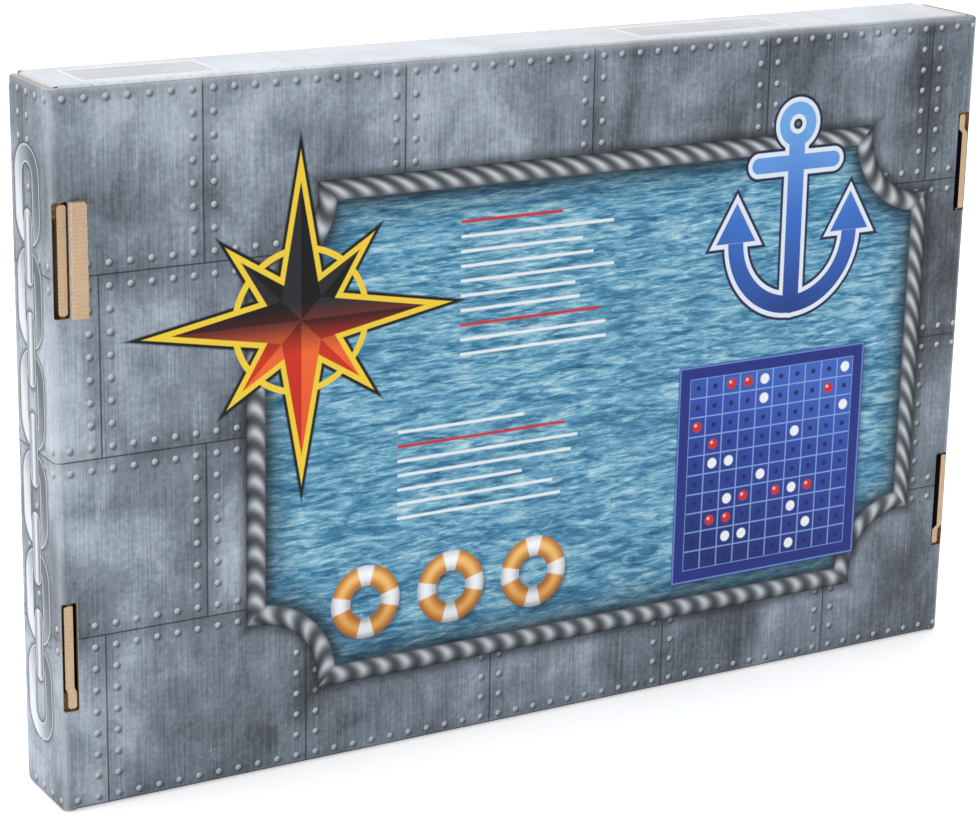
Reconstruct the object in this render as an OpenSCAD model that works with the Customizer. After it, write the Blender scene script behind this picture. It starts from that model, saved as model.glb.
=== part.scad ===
// Boxed fleet guessing game: a folded corrugated carton that holds two hinged peg-board sets.
// +X runs along the long side, +Y points from the photographed back panel to the lid, +Z is up.
// The origin lies under the middle of the carton as it stands on its long edge.

/* [Game set] */
// Cells along each side of the playing field
cells = 10; // [10:1:12]
// Pitch of the peg holes in the playing field
cell = 20; // [18:0.5:22]
// Bare strip beside the outer cells, left and right
field_side = 10.4; // [8:0.2:14]
// Bare strip beyond the outer cells, at the hinge and at the latch
field_end = 12.9; // [10:0.1:18]
// Width of each side wing
wing_w = 64; // [58:1:80]
// How far each wing stops short of the middle block
wing_inset = 18; // [10:1:24]
// Chamfer at each wing's outer corners
wing_chamfer = 34; // [24:1:40]
// Wall of the moulded base and lid
wall = 1.6; // [1.2:0.1:2]
// Height of the moulded base
base_h = 10.4; // [10:0.2:16]
// Height of the moulded lid
lid_h = 5.2; // [4.8:0.2:8]
// Clear height under the playing field's floor, for the peg tips
under_field = 4.2; // [4.1:0.1:5]
// Radius of the mouldings' upright corners
corner_r = 5; // [3:0.5:8]

/* [Set hinge and latch] */
// Radius of the hinge knuckles
knuckle_r = 2.4; // [2:0.1:3]
// Length of one hinge knuckle
knuckle_len = 7; // [5:0.5:10]
// Distance of each hinge from the middle of the set
hinge_x = 84; // [50:1:90]
// Radius of the moulded stub pins
stub_r = 1.1; // [0.8:0.05:1.3]
// Running clearance round a stub pin
stub_play = 0.08; // [0.04:0.01:0.1]
// Width of the latch tongue
latch_w = 22; // [14:1:30]

/* [Screen and cards] */
// Rim of the clear screen outside its cells
screen_rim = 4; // [3:0.2:6]
// Thickness of the clear screen
screen_t = 1.4; // [1:0.1:2]
// Height of the screen's moulded grid lines
screen_rib = 0.6; // [0.4:0.1:1]
// Thickness of the printed key cards
card_t = 0.4; // [0.3:0.05:0.6]

/* [Ships and pegs] */
// Beam of a ship's deck
beam = 9.6; // [8:0.2:12]
// Height of a ship's hull above the field
hull_h = 3; // [2.6:0.1:3.4]
// Radius of a peg's shank
peg_r = 1.4; // [1.2:0.05:1.6]
// Radius of a peg's head
peg_head_r = 2.1; // [1.8:0.05:2.3]
// Length of a peg over all
peg_len = 10; // [9:0.2:11]
// Clearance of a peg in its hole
peg_play = 0.2; // [0.1:0.05:0.3]
// White pegs in one set, heaped in four lots
white_count = 160; // [40:20:160]
// Red pegs in one set
red_count = 40; // [10:10:40]

/* [Carton] */
// Thickness of the corrugated board
board = 1.8; // [1.4:0.1:2.2]
// Inner radius of a crease
crease_in = 0.8; // [0.4:0.1:1.2]
// Gap between boards that are folded against each other
ply_gap = 0.1; // [0.05:0.05:0.3]
// Room between the sets and each double end wall
side_room = 3.4; // [2.5:0.1:6]
// Room between the sets and the top wall
top_room = 2.3; // [1.5:0.1:5]
// Gap before, between and behind the two sets
lay_gap = 0.4; // [0.3:0.1:1]
// Length of the corner flaps inside the double end walls
corner_flap_len = 42; // [30:1:60]
// Radius of the end walls' corner beside the tuck flap
end_corner_r = 7; // [4:0.5:9]

/* [Locking slots] */
// Length of one slot
slot_len = 38; // [30:1:48]
// Width of one slot
slot_w = 5.5; // [5.2:0.1:6.5]
// Distance of the slots from the carton's end faces
slot_edge = 0.9; // [0.6:0.1:1.4]
// Height of the lower slots' lower end
slot_low = 36; // [30:1:50]
// Height of the upper slots' lower end
slot_high = 170; // [140:1:180]
// Play of a tab in its slot, at each end
tab_play = 1; // [0.5:0.1:2]
// How far a tab stops short of the printed face
tab_recess = 0.4; // [0.3:0.1:0.8]

/* [Lid and tuck flap] */
// How far the lid stops short of the carton's end faces
lid_inset = 3.2; // [2.6:0.1:5]
// Depth of the tuck flap
tuck_depth = 24; // [16:1:26]
// Gap between the lid's lower edge and the bottom wall
tuck_gap = 0.8; // [0.6:0.1:1.5]
// Lean of the tuck flap away from the bottom wall, in degrees
tuck_lean = 3.5; // [3:0.1:6]
// Distance of the tuck flap's ends from the carton's ends
tuck_inset = 8; // [7:0.5:12]
// Radius of the tuck flap's free corners
tuck_corner_r = 12; // [6:1:15]

/* [Hidden] */
$fn = 48;
eps = 0.02;
far = 1000;
// Small clearance between pieces that fit into each other
seat = 0.3;
// Hair's breadth between round pieces that rest on each other
touch = 0.05;
// Chamfers run at 45 degrees: their ends move by this share of an inset
chamfer_shift = tan(22.5);

// Gap between a hinge knuckle and the wall that carries it
knuckle_gap = 0.2;
// Depth of the red pegs' bin, past the wing's chamfer
red_bin = 20;

// Sizes of one game set
field_w = cells * cell + 2 * field_side;
block_w = field_w + 2 * wall;
set_w = block_w + 2 * wing_w;
set_d = cells * cell + 2 * field_end + 2 * wall;
set_t = base_h + lid_h;
floor_z = under_field + wall;
hinge_off = knuckle_r + knuckle_gap;
hinge_out = hinge_off + knuckle_r;
screen_w = field_w - 2 * seat;
screen_cell = (screen_w - 2 * screen_rim) / (cells + 1);
screen_top = lid_h - wall;
window_w = screen_w - 2 * screen_rim;
stake_r = 1.2;
stake_at = screen_w / 2 - screen_rim / 2;
hole_r = peg_r + peg_play;
card_inset = wall + seat;
// Height that the screen leaves for the ships' deck works
works_h = base_h + screen_top - screen_t - screen_rib - floor_z - hull_h - seat;
// Bins in the right wing
divider_y = wing_inset + wing_chamfer + red_bin;

// Sizes of the carton
crease_r = board + crease_in;
end_stack = 3 * board + 2 * ply_gap;
box_w = set_w + 2 * side_room + 2 * end_stack;
tuck_rise = tuck_depth * tan(tuck_lean);
lid_low = board + tuck_gap;
set_low = lid_low + board + tuck_rise + seat;
box_h = set_low + set_d + hinge_out + top_room + board;
box_d = 2 * board + 2 * set_t + 3 * lay_gap;
// The folded-out slot flap stands proud of the back panel, so the carton sits half a board towards the lid
back_y = -(box_d - board) / 2;
lid_y = back_y + box_d - board;
roll_y = lid_y - seat;
inner_x = box_w / 2 - 2 * board - 2 * ply_gap;
slot_in = box_w / 2 - slot_edge - slot_w;
slot_zs = [slot_low, slot_high];

printed = "slategray";
kraft = "burlywood";
moulded = "mediumblue";

// Quarter ring of a crease, in the plane's first quadrant, centred on the origin
module crease_2d(inner = crease_in) {
  intersection() {
    difference() {
      circle(r = inner + board);
      if (inner > 0) circle(r = inner);
    }
    square(2 * (inner + board));
  }
}

module at_right(right) {
  mirror([right ? 0 : 1, 0, 0]) children();
}

// Carton: every panel is one flat of the folded blank, with the crease that joins it to its neighbour

// Slots through the back panel and the creases at its ends
module slots_cut() {
  for (s = [-1, 1], z = slot_zs)
    translate([s > 0 ? slot_in : -slot_in - slot_w, back_y - eps, z])
      cube([slot_w, crease_r + eps, slot_len]);
}

module back_panel() {
  color(printed) difference() {
    translate([-box_w / 2 + crease_r, back_y, crease_r])
      cube([box_w - 2 * crease_r, board, box_h - 2 * crease_r]);
    slots_cut();
  }
}

// Long wall drawn as the top one: its crease to the back panel, then the flat, up to y_end
module long_wall(y_end) {
  reach = box_w / 2 - board - ply_gap - crease_r;
  translate([-reach, 0, 0]) rotate([90, 0, 90]) linear_extrude(2 * reach) {
    translate([back_y + crease_r, box_h - crease_r]) mirror([1, 0]) crease_2d();
    translate([back_y + crease_r, box_h - board]) square([y_end - back_y - crease_r, board]);
  }
}

module upside_down() {
  translate([0, 0, box_h]) mirror([0, 0, 1]) children();
}

module top_wall() {
  color(printed) long_wall(lid_y - ply_gap);
}

module bottom_wall() {
  color(printed) upside_down() long_wall(lid_y + board);
}

// Corner flap drawn at the top right: the crease round the corner, then the flat inside the outer end
module corner_flap() {
  x_out = box_w / 2 - board - ply_gap;
  y_low = back_y + crease_r;
  color(kraft) translate([0, roll_y - crease_r - seat, 0]) rotate([90, 0, 0])
    linear_extrude(roll_y - crease_r - seat - y_low) {
      translate([x_out - crease_r, box_h - crease_r]) crease_2d();
      translate([x_out - board, box_h - corner_flap_len])
        square([board, corner_flap_len - crease_r]);
    }
}

// End walls are cut away round the corner that lies beside the tuck flap
module end_corner_cut() {
  r = end_corner_r;
  translate([-far / 2, roll_y - r, r]) rotate([90, 0, 90]) linear_extrude(far) difference() {
    translate([0, -r - 1]) square([r + 1, r + 1]);
    circle(r = r);
  }
}

// Outer end drawn at the right: its crease to the back panel, then the flat up to the roll-over
module outer_end() {
  color(printed) difference() {
    translate([0, 0, seat]) linear_extrude(box_h - 2 * seat) {
      translate([box_w / 2 - crease_r, back_y + crease_r]) mirror([0, 1]) crease_2d();
      translate([box_w / 2 - board, back_y + crease_r])
        square([board, roll_y - back_y - 2 * crease_r]);
    }
    slots_cut();
    end_corner_cut();
  }
}

// Inner end drawn at the right: the roll-over, the flat against the corner flaps, and the locking tabs
module inner_end() {
  y_low = back_y + board + ply_gap;
  color(kraft) {
    difference() {
      translate([0, 0, crease_r + seat]) linear_extrude(box_h - 2 * crease_r - 2 * seat) {
        translate([box_w / 2 - crease_r, roll_y - crease_r]) crease_2d();
        translate([inner_x - board + crease_r, roll_y - board])
          square([box_w / 2 - inner_x + board - 2 * crease_r, board]);
        translate([inner_x - board + crease_r, roll_y - crease_r]) mirror([1, 0]) crease_2d();
        translate([inner_x - board, y_low]) square([board, roll_y - crease_r - y_low]);
      }
      end_corner_cut();
    }
    for (z = slot_zs)
      translate([inner_x - board, back_y + tab_recess, z + tab_play])
        cube([board, y_low - back_y - tab_recess + eps, slot_len - 2 * tab_play]);
  }
}

// The cut-out of the upper left slot, still hanging on its inner edge and folded back over the print
module slot_flap() {
  color(kraft) translate([-slot_in, back_y - board, slot_high]) cube([slot_w, board, slot_len]);
}

module front_lid_panel() {
  reach = box_w / 2 - lid_inset;
  color(printed) translate([-reach, 0, 0]) rotate([90, 0, 90]) linear_extrude(2 * reach) {
    translate([lid_y, lid_low + board]) square([board, box_h - lid_low - 2 * board]);
    translate([lid_y, box_h - board]) crease_2d(0);
    translate([lid_y, lid_low + board]) mirror([0, 1]) crease_2d(0);
  }
}

module tuck_flap() {
  reach = box_w / 2 - tuck_inset;
  r = tuck_corner_r;
  root = 2 * ply_gap;
  color(printed) translate([0, lid_y, lid_low]) rotate([-tuck_lean, 0, 0]) linear_extrude(board) {
    translate([-reach, -tuck_depth + r]) square([2 * reach, tuck_depth - r - root]);
    translate([-reach + r, -tuck_depth]) square([2 * (reach - r), r]);
    for (s = [-1, 1]) translate([s * (reach - r), -tuck_depth + r]) intersection() {
      circle(r = r);
      translate([-r, -r]) square([2 * r, r]);
    }
  }
}

// Game set, drawn lying on its base: the hinge at y = 0, the latch at y = set_d, z up to the lid

// Corners of one wing on the right, from x_in outwards, drawn in by e
function wing_points(x_in, e) =
  let (x = set_w / 2, y0 = wing_inset, y1 = set_d - wing_inset, c = wing_chamfer, k = e * chamfer_shift)
  [[x_in, y0 + e], [x - c - k, y0 + e], [x - e, y0 + c + k],
   [x - e, y1 - c - k], [x - c - k, y1 - e], [x_in, y1 - e]];

// Rounds a flat shape's outer corners
module rounded(r) {
  offset(r = r) offset(delta = -r) children();
}

module set_outline() {
  rounded(corner_r) {
    translate([-block_w / 2, 0]) square([block_w, set_d]);
    for (right = [true, false])
      at_right(right) polygon(wing_points(block_w / 2 - eps, 0));
  }
}

// Hollow of the middle block, inside its walls
module block_hollow() {
  rounded(corner_r - wall) translate([-field_w / 2, wall]) square([field_w, set_d - 2 * wall]);
}

// Hollow of the right wing, from x_in outwards
module wing_hollow(x_in) {
  rounded(corner_r - wall) polygon(wing_points(x_in, wall));
}

module field_holes(pitch, h) {
  for (i = [0 : cells - 1], j = [0 : cells - 1])
    translate([(i - (cells - 1) / 2) * pitch, (j - (cells - 1) / 2) * pitch, -h / 2])
      cylinder(r = hole_r, h = h);
}

// One half of a hinge: a knuckle with its web to the wall, above or below the parting line
module knuckle(x, up) {
  translate([x, -hinge_off, 0]) {
    rotate([0, 90, 0]) cylinder(r = knuckle_r, h = knuckle_len);
    translate([0, 0, up ? 0 : -knuckle_r]) cube([knuckle_len, hinge_off + eps, knuckle_r]);
  }
}

latch_bump = 0.6;
latch_t = 1.2;
latch_gap = 0.4;
latch_drop = base_h - floor_z - latch_bump - latch_gap;

module set_base() {
  color(moulded) difference() {
    union() {
      difference() {
        linear_extrude(base_h) set_outline();
        translate([0, 0, floor_z]) linear_extrude(base_h) block_hollow();
        translate([0, 0, -eps]) linear_extrude(under_field + eps) block_hollow();
        for (right = [true, false]) at_right(right)
          translate([0, 0, wall]) linear_extrude(base_h) wing_hollow(block_w / 2);
        translate([0, set_d / 2, floor_z]) field_holes(cell, 4 * wall);
      }
      bin_divider();
      rack_ribs();
      for (s = [-1, 1]) translate([0, 0, base_h])
        knuckle(s > 0 ? hinge_x : -hinge_x - knuckle_len, false);
    }
    // Bores for the lid's stub pins
    for (s = [-1, 1]) translate([s * (hinge_x - eps), -hinge_off, base_h]) rotate([0, s * 90, 0])
      cylinder(r = stub_r + stub_play, h = knuckle_len + 2 * eps);
    // Window for the latch bump
    translate([-latch_w / 2 - seat, set_d - wall - eps, base_h - latch_drop - seat])
      cube([latch_w + 2 * seat, wall + 2 * eps, 2 * latch_bump + 2 * seat]);
  }
}

// Wall between the two peg bins in the right wing
module bin_divider() {
  translate([block_w / 2 - eps, divider_y, wall - eps])
    cube([wing_w - wall + 2 * eps, wall, base_h - wall + eps]);
}

// Low ribs that part the ship rack in the left wing
module rack_ribs() {
  count = 5;
  run = set_d - 2 * wing_inset - 2 * wing_chamfer;
  for (i = [0 : count - 1])
    translate([-set_w / 2 + wall - eps, wing_inset + wing_chamfer + run * (i + 0.5) / count, wall - eps])
      cube([wing_w - wall + 2 * eps, wall, base_h / 2]);
}

module set_lid() {
  color(moulded) translate([0, 0, base_h]) {
    difference() {
      linear_extrude(lid_h) set_outline();
      translate([0, 0, -eps]) linear_extrude(screen_top + eps) {
        block_hollow();
        for (right = [true, false]) at_right(right) wing_hollow(field_w / 2 - corner_r);
      }
      translate([-window_w / 2, (set_d - window_w) / 2, 0]) cube([window_w, window_w, lid_h + eps]);
    }
    for (s = [-1, 1]) {
      knuckle(s > 0 ? hinge_x - knuckle_len - seat : -hinge_x + seat, true);
      translate([s * (hinge_x - seat - eps), -hinge_off, 0]) rotate([0, s * 90, 0])
        cylinder(r = stub_r, h = knuckle_len);
    }
    for (x = [-1, 1], y = [-1, 1])
      translate([x * stake_at, set_d / 2 + y * stake_at, screen_top - screen_t - screen_rib])
        cylinder(r = stake_r, h = screen_t + screen_rib + eps);
    latch_tongue();
  }
}

module latch_tongue() {
  y_out = set_d - wall - seat;
  translate([-latch_w / 2, y_out - latch_t, -latch_drop - latch_bump])
    cube([latch_w, latch_t, latch_drop + latch_bump + screen_top + eps]);
  translate([-latch_w / 2, y_out, -latch_drop + latch_bump]) rotate([0, 90, 0])
    cylinder(r = latch_bump, h = latch_w);
}

module set_screen() {
  line_w = 0.8;
  color("lightskyblue") translate([0, set_d / 2, base_h + screen_top]) difference() {
    union() {
      translate([-screen_w / 2, -screen_w / 2, -screen_t]) cube([screen_w, screen_w, screen_t]);
      for (i = [0 : cells + 1], turn = [0, 90]) rotate(turn)
        translate([(i - (cells + 1) / 2) * screen_cell - line_w / 2, -window_w / 2, -screen_t - screen_rib])
          cube([line_w, window_w, screen_rib + eps]);
    }
    translate([screen_cell / 2, screen_cell / 2, -screen_t]) field_holes(screen_cell, 4 * screen_t);
    for (x = [-1, 1], y = [-1, 1])
      translate([x * stake_at, y * stake_at, -2 * screen_t]) cylinder(r = stake_r + ply_gap, h = 4 * screen_t);
  }
}

module set_key_cards() {
  color("teal") for (right = [true, false]) at_right(right)
    translate([0, 0, base_h + screen_top - card_t]) linear_extrude(card_t)
      rounded(corner_r - wall) polygon(wing_points(block_w / 2 + seat, card_inset));
}

// Ships: length along x, afloat on the field at z = 0, with their pegs below

// Outline of a hull of the given length: a square stern and a bow that narrows as a curve
function hull_points(length, half, bow) = concat(
  [[-length / 2, -half * 0.8], [-length / 2 + half * 0.6, -half]],
  [for (i = [0 : 6]) let (a = 15 * i) [length / 2 - bow + bow * sin(a), -half * cos(a)]],
  [for (i = [5 : -1 : 0]) let (a = 15 * i) [length / 2 - bow + bow * sin(a), half * cos(a)]],
  [[-length / 2 + half * 0.6, half], [-length / 2, half * 0.8]]);

ship_end = 1.6;
flare = 1.22;
deck_hole = 2;
bar_r = 0.5;
function ship_len(n) = n * cell - 2 * ship_end;

module ship_hull(n, width) {
  half = width / 2 / flare;
  length = ship_len(n) / flare;
  linear_extrude(hull_h, scale = flare) polygon(hull_points(length, half, width));
}

// A ship over n cells: hull, deck works from children, a hole in the deck for each cell, and field pegs
module ship(n, width = beam) {
  tip = floor_z - wall / 2;
  difference() {
    union() {
      ship_hull(n, width);
      children();
    }
    for (i = [0 : n - 1])
      translate([(i - (n - 1) / 2) * cell, 0, hull_h - deck_hole]) cylinder(r = hole_r, h = far);
  }
  for (s = n > 1 ? [-1, 1] : [0])
    translate([s * (n - 1) / 2 * cell, 0, -tip]) cylinder(r = peg_r, h = tip + bar_r);
}

// Deck works: places and lengths along the ship in cells, widths in beams, heights as a share of works_h
module works(x, length, width, share, y = 0) {
  translate([(x - length / 2) * cell, (y - width / 2) * beam, hull_h - eps])
    cube([length * cell, width * beam, share * works_h + eps]);
}

module round_works(x, r, share, y = 0) {
  translate([x * cell, y * beam, hull_h - eps]) cylinder(r = r * beam, h = share * works_h + eps);
}

// A torpedo tube or gun barrel that points to the bow
module bar(x, length, y, share) {
  translate([x * cell, y * beam, hull_h + share * works_h]) rotate([0, 90, 0])
    cylinder(r = bar_r, h = length * cell);
}

module torpedo_boat() {
  ship(1) {
    works(-0.23, 0.18, 0.46, 0.8);
    for (y = [-0.31, 0.31]) bar(-0.13, 0.25, y, 0.1);
  }
}

module destroyer() {
  ship(2) {
    works(0.02, 0.3, 0.52, 0.6);
    works(0.07, 0.15, 0.35, 1);
    round_works(-0.23, 0.135, 0.9);
    works(-0.78, 0.13, 0.35, 0.5);
  }
}

module gun(x) {
  round_works(x, 0.18, 0.5);
  bar(x, 0.2, 0, 0.3);
}

module cruiser() {
  ship(3) {
    works(0.49, 0.35, 0.56, 0.55);
    works(0.52, 0.18, 0.375, 1);
    for (x = [-0.35, -0.54]) round_works(x, 0.135, 0.9);
    gun(1.18);
    gun(-1.3);
  }
}

module submarine() {
  ship(3, 0.72 * beam) {
    works(0.48, 0.4, 0.31, 0.75);
    round_works(0.42, 0.0625, 1);
    for (y = [-0.21, 0.21]) works(-1.35, 0.12, 0.21, 0.2, y);
  }
}

module carrier() {
  ship(4, 1.2 * beam) {
    works(-0.3, 2.4, 1.2, 0.2);
    works(0, 0.35, 0.23, 0.85, -0.44);
    round_works(0.08, 0.07, 1, -0.44);
  }
}

// Puts a ship on the field: its middle at a cell position, lying along x, or along y if turned
module moored(column, row, turned = false) {
  translate([(column - (cells - 1) / 2) * cell, set_d / 2 + (row - (cells - 1) / 2) * cell, floor_z])
    rotate(turned ? 90 : 0) children();
}

module torpedo_boats() {
  color("dodgerblue") for (at = [[0, 0], [9, 2], [4, 9], [9, 9]]) moored(at[0], at[1]) torpedo_boat();
}

module destroyers() {
  color("dodgerblue") {
    moored(0.5, 9) destroyer();
    moored(6, 4.5, true) destroyer();
    moored(8.5, 0) destroyer();
  }
}

module set_submarine() {
  color("dodgerblue") moored(1, 4, true) submarine();
}

module set_cruiser() {
  color("dodgerblue") moored(4, 7) cruiser();
}

module set_carrier() {
  color("dodgerblue") moored(4.5, 2) carrier();
}

// Pegs lie in rows along x, in layers, in a bin of the right wing
peg_gap = 0.6;
peg_pitch = peg_len + peg_gap;
row_pitch = 2 * peg_head_r + peg_gap;
layer_pitch = 2 * peg_head_r + touch;
peg_layers = 2;
peg_columns = floor((wing_w - wall - 2 * peg_gap) / peg_pitch);
red_columns = peg_columns - 1;
white_rows = ceil(white_count / (peg_columns * peg_layers));
red_rows = ceil(red_count / (red_columns * peg_layers));
white_lots = 4;

module peg() {
  r = peg_head_r;
  rotate([0, 90, 0]) rotate_extrude($fn = 24)
    polygon([[0, 0], [0.7 * r, 0.25 * r], [r, r], [peg_r, 1.9 * r], [peg_r, peg_len], [0, peg_len]]);
}

// Pegs number first to last of a heap that starts at y
module pegs(first, last, y, columns, rows) {
  for (i = [first : last])
    translate([
      block_w / 2 + peg_gap + (i % columns) * peg_pitch,
      y + peg_head_r + (floor(i / columns) % rows) * row_pitch,
      wall + touch + peg_head_r + floor(i / (columns * rows)) * layer_pitch])
      peg();
}

module white_pegs(lot) {
  lot_count = white_count / white_lots;
  color("white")
    pegs((lot - 1) * lot_count, lot * lot_count - 1, divider_y + wall + peg_gap, peg_columns, white_rows);
}

module red_pegs() {
  color("red") pegs(0, red_count - 1, divider_y - red_rows * row_pitch, red_columns, red_rows);
}

// Lays a set in the carton, hinge uppermost: set a on the back panel, set b on top of it
module packed(index) {
  translate([0, back_y + board + lay_gap + index * (set_t + lay_gap), set_low + set_d])
    rotate([-90, 0, 0]) children();
}

back_panel();
top_wall();
bottom_wall();
at_right(false) outer_end();  // left_outer_end
outer_end();  // right_outer_end
at_right(false) inner_end();  // left_inner_end
inner_end();  // right_inner_end
at_right(false) corner_flap();  // left_top_corner_flap
at_right(false) upside_down() corner_flap();  // left_bottom_corner_flap
corner_flap();  // right_top_corner_flap
upside_down() corner_flap();  // right_bottom_corner_flap
slot_flap();
front_lid_panel();
tuck_flap();
packed(0) set_base();  // set_a_base
packed(0) set_lid();  // set_a_lid
packed(0) set_screen();  // set_a_screen
packed(0) set_key_cards();  // set_a_key_cards
packed(0) torpedo_boats();  // set_a_torpedo_boats
packed(0) destroyers();  // set_a_destroyers
packed(0) set_submarine();  // set_a_submarine
packed(0) set_cruiser();  // set_a_cruiser
packed(0) set_carrier();  // set_a_carrier
packed(0) white_pegs(1);  // set_a_white_pegs_1
packed(0) white_pegs(2);  // set_a_white_pegs_2
packed(0) white_pegs(3);  // set_a_white_pegs_3
packed(0) white_pegs(4);  // set_a_white_pegs_4
packed(0) red_pegs();  // set_a_red_pegs
packed(1) set_base();  // set_b_base
packed(1) set_lid();  // set_b_lid
packed(1) set_screen();  // set_b_screen
packed(1) set_key_cards();  // set_b_key_cards
packed(1) torpedo_boats();  // set_b_torpedo_boats
packed(1) destroyers();  // set_b_destroyers
packed(1) set_submarine();  // set_b_submarine
packed(1) set_cruiser();  // set_b_cruiser
packed(1) set_carrier();  // set_b_carrier
packed(1) white_pegs(1);  // set_b_white_pegs_1
packed(1) white_pegs(2);  // set_b_white_pegs_2
packed(1) white_pegs(3);  // set_b_white_pegs_3
packed(1) white_pegs(4);  // set_b_white_pegs_4
packed(1) red_pegs();  // set_b_red_pegs
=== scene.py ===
import math

import bmesh
import bpy
from mathutils import Matrix, Vector


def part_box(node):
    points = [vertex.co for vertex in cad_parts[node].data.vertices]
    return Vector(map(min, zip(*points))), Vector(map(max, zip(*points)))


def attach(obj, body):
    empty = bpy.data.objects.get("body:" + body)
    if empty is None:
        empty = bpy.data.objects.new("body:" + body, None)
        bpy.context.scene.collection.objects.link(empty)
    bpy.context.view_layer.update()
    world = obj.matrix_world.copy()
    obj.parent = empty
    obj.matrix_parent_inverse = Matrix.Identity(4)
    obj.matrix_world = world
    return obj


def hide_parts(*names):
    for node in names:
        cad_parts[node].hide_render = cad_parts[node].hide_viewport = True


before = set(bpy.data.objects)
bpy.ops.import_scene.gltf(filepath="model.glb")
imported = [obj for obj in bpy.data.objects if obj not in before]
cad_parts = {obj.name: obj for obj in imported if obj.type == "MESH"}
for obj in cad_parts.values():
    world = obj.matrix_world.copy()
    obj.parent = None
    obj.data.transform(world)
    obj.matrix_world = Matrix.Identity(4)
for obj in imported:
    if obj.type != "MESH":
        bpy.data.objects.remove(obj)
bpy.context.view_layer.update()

MM = 0.001
QUARTER = math.radians(90)
SMOOTH_BELOW = math.radians(35)
CREASE_STEPS = 5

# Points closer than the slack count as one place, and the loose slack is for picking a region
SLACK = 0.02 * MM
LOOSE = 0.1 * MM
WELD = 0.005 * MM

# Places of the folded carton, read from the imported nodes
back_low, back_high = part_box("back_panel")
end_low, end_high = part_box("left_outer_end")
top_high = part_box("top_wall")[1]
bottom_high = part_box("bottom_wall")[1]
flap_low, flap_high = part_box("left_top_corner_flap")
low_flap_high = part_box("left_bottom_corner_flap")[1]
roll_low, roll_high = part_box("left_inner_end")
lid_low, lid_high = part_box("front_lid_panel")
tuck_low, tuck_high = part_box("tuck_flap")
strip_low, strip_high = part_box("slot_flap")

FACE_Y = back_low.y
HALF_W = -end_low.x
TOP_Z = top_high.z
BOARD = back_high.y - back_low.y
CREASE = HALF_W - back_high.x
FLAT_X = back_high.x
FLAT_LOW, FLAT_HIGH = back_low.z, back_high.z
MIDDLE_Z = (FLAT_LOW + FLAT_HIGH) / 2
WALL_X = top_high.x
TURN_Y = FACE_Y + CREASE
ROLL_Y = roll_high.y
SLOT_W = strip_high.x - strip_low.x
SLOT_LEN = strip_high.z - strip_low.z
SLOT_X = -strip_low.x + SLOT_W / 2
SLOT_STEP = 134 * MM
SLOT_HIGH_Z = (strip_low.z + strip_high.z) / 2
SLOT_LOW_Z = SLOT_HIGH_Z - SLOT_STEP
SLOTS_Z = (SLOT_LOW_Z, SLOT_HIGH_Z)
HINGE_Y = lid_low.y

# Order of the finishes on every board: outer face, inner liner, cut edge, painted shade for the slot gaps
FACE, LINER, CUT, GAP_SHADE = range(4)


# Modelling by hand

def take(piece):
    """Leaves only this piece selected."""
    bpy.ops.object.select_all(action="DESELECT")
    piece.select_set(True)
    bpy.context.view_layer.objects.active = piece


def edit(piece):
    take(piece)
    bpy.ops.object.mode_set(mode="EDIT")


def done():
    bpy.ops.object.mode_set(mode="OBJECT")


def pick(piece, kind, test):
    """In edit mode, selects only the verts, rim edges or faces whose place and normal pass the test."""
    bpy.ops.mesh.select_mode(type={"verts": "VERT", "edges": "EDGE", "faces": "FACE"}[kind])
    bpy.ops.mesh.select_all(action="DESELECT")
    mesh = bmesh.from_edit_mesh(piece.data)
    mesh.normal_update()
    for part in getattr(mesh, kind):
        if kind == "verts":
            chosen = test(part.co)
        elif kind == "edges":
            chosen = part.is_boundary and all(test(v.co) for v in part.verts)
        else:
            chosen = test(part.calc_center_median(), part.normal)
        if chosen:
            part.select_set(True)
    mesh.select_flush_mode()
    bmesh.update_edit_mesh(piece.data)


def pick_lines(piece, test):
    """In edit mode, selects only the edges that pass the test, inside the piece as well as at its rim."""
    bpy.ops.mesh.select_mode(type="EDGE")
    bpy.ops.mesh.select_all(action="DESELECT")
    mesh = bmesh.from_edit_mesh(piece.data)
    for line in mesh.edges:
        line.select_set(test(line))
    bmesh.update_edit_mesh(piece.data)


def near(a, b, slack=SLACK):
    return abs(a - b) < slack


def runs_through(line):
    """Whether an edge runs through the board, and not along its face."""
    a, b = line.verts
    return abs(a.co.y - b.co.y) > 1 * MM


def new_grid(name, centre, size, turn, cuts):
    """A flat sheet at its place, cut into a grid."""
    bpy.ops.object.select_all(action="DESELECT")
    bpy.ops.mesh.primitive_grid_add(x_subdivisions=cuts[0], y_subdivisions=cuts[1], size=1,
                                    location=centre, rotation=turn)
    piece = bpy.context.object
    piece.name = name
    piece.scale = (size[0], size[1], 1)
    bpy.ops.object.transform_apply(location=True, rotation=True, scale=True)
    return piece


def new_block(name, low_corner, high_corner):
    bpy.ops.object.select_all(action="DESELECT")
    bpy.ops.mesh.primitive_cube_add(size=1, location=(low_corner + high_corner) / 2)
    piece = bpy.context.object
    piece.name = name
    piece.scale = high_corner - low_corner
    bpy.ops.object.transform_apply(location=True, rotation=True, scale=True)
    return piece


def cut_at(places, normal):
    """Adds a line of edges across the whole of the edited piece at each place."""
    for place in places:
        bpy.ops.mesh.select_all(action="SELECT")
        bpy.ops.mesh.bisect(plane_co=place, plane_no=normal)


def run_on(x=0.0, y=0.0, z=0.0):
    """Carries the selected edges on as a new flat of the sheet."""
    bpy.ops.mesh.extrude_edges_move(TRANSFORM_OT_translate={"value": (x, y, z)})


def fold(centre, axis):
    """Carries the selected edges round a crease by a right angle, right-handed about the axis."""
    bpy.ops.mesh.spin(steps=CREASE_STEPS, angle=-QUARTER, center=centre, axis=axis)


BOW_HALF = 90 * MM


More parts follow.
